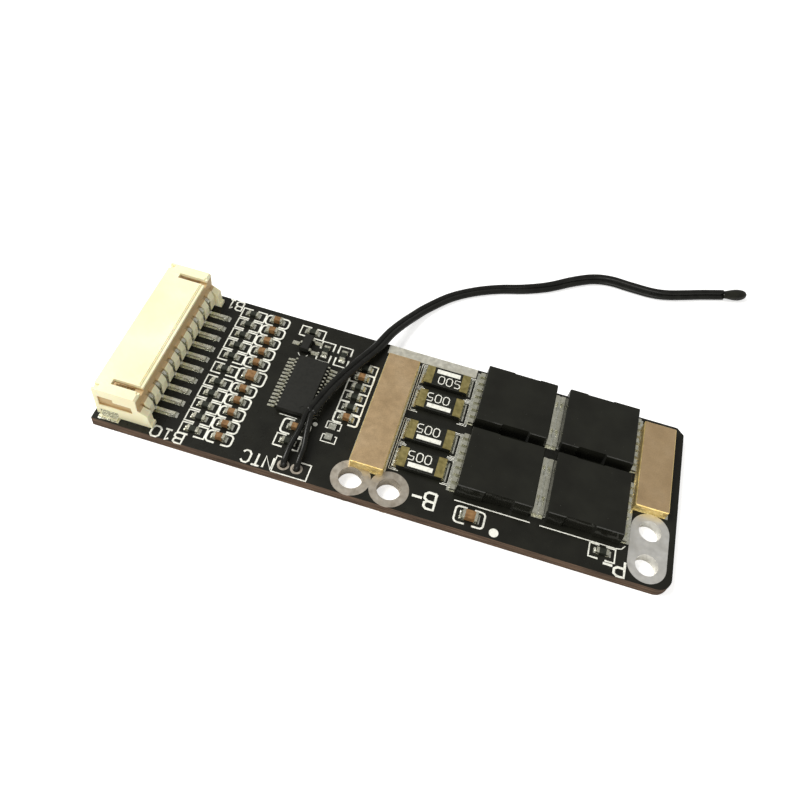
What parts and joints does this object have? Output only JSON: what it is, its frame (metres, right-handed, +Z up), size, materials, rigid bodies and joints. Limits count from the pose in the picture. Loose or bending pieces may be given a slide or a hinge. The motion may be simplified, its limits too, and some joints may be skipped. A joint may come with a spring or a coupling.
{
  "type": "battery management board",
  "caption": "Slim battery management board with a balance-lead header, a controller chip, current shunts, power transistors, copper bars, wire terminals and a leaded temperature sensor.",
  "frame": {"origin": "centre of the laminate's underside, on the face that the board rests on", "axes": "+X along the board from the balance connector to the pack terminals, +Y from the wire-terminal edge to the edge that the sensor lead crosses, +Z up from the underside through the parts"},
  "size_m": [0.0863, 0.0589, 0.007],
  "materials": {
    "solder_mask": "glossy black mask over laminate with a brown cut edge",
    "plated_copper": "satin tinned copper",
    "tinning": "thick pale tinning",
    "nylon": "satin ivory nylon",
    "contact_metal": "bright tin plate",
    "solder": "bright uneven solder",
    "resistor_body": "dark glazed film over ceramic",
    "capacitor_body": "satin brown ceramic",
    "chip_moulding": "fine matt moulding compound",
    "shunt_coat": "dark coat with pale marks",
    "shunt_metal": "dull gold-green plate",
    "power_moulding": "black moulding under wavy clear lacquer",
    "bar_copper": "rolled copper alloy with a faint grain and specks",
    "lead_jacket": "glossy black jacket",
    "bead_epoxy": "glossy black epoxy"
  },
  "bodies": {
    "root": {"circuit_board": "solder_mask", "battery_terminal_plating": "plated_copper", "pack_terminal_plating": "plated_copper", "tinned_edge_strip": "tinning", "sensor_pads": "plated_copper", "connector_housing": "nylon", "connector_pin_01": "contact_metal", "connector_pin_02": "contact_metal", "connector_pin_03": "contact_metal", "connector_pin_04": "contact_metal", "connector_pin_05": "contact_metal", "connector_pin_06": "contact_metal", "connector_pin_07": "contact_metal", "connector_pin_08": "contact_metal", "connector_pin_09": "contact_metal", "connector_pin_10": "contact_metal", "connector_tab_near": "contact_metal", "connector_tab_far": "contact_metal", "connector_solder": "solder", "balance_resistors": "resistor_body", "balance_resistor_ends": "contact_metal", "filter_capacitors": "capacitor_body", "filter_capacitor_ends": "contact_metal", "control_resistors": "resistor_body", "control_resistor_ends": "contact_metal", "control_capacitors": "capacitor_body", "control_capacitor_ends": "contact_metal", "chip_solder": "solder", "controller_chip": "chip_moulding", "controller_leads": "contact_metal", "small_transistor": "chip_moulding", "small_transistor_leads": "contact_metal", "shunt_body_1": "shunt_coat", "shunt_body_2": "shunt_coat", "shunt_body_3": "shunt_coat", "shunt_body_4": "shunt_coat", "shunt_terminals_1": "shunt_metal", "shunt_terminals_2": "shunt_metal", "shunt_terminals_3": "shunt_metal", "shunt_terminals_4": "shunt_metal", "power_transistor_1": "power_moulding", "power_transistor_2": "power_moulding", "power_transistor_3": "power_moulding", "power_transistor_4": "power_moulding", "transistor_leads_1": "contact_metal", "transistor_leads_2": "contact_metal", "transistor_leads_3": "contact_metal", "transistor_leads_4": "contact_metal", "transistor_tab_1": "contact_metal", "transistor_tab_2": "contact_metal", "transistor_tab_3": "contact_metal", "transistor_tab_4": "contact_metal", "power_solder": "solder", "battery_busbar": "bar_copper", "pack_busbar": "bar_copper", "sensor_lead": "lead_jacket", "sensor_lead_tails": "lead_jacket", "sensor_bead": "bead_epoxy"}
  },
  "joints": []
}
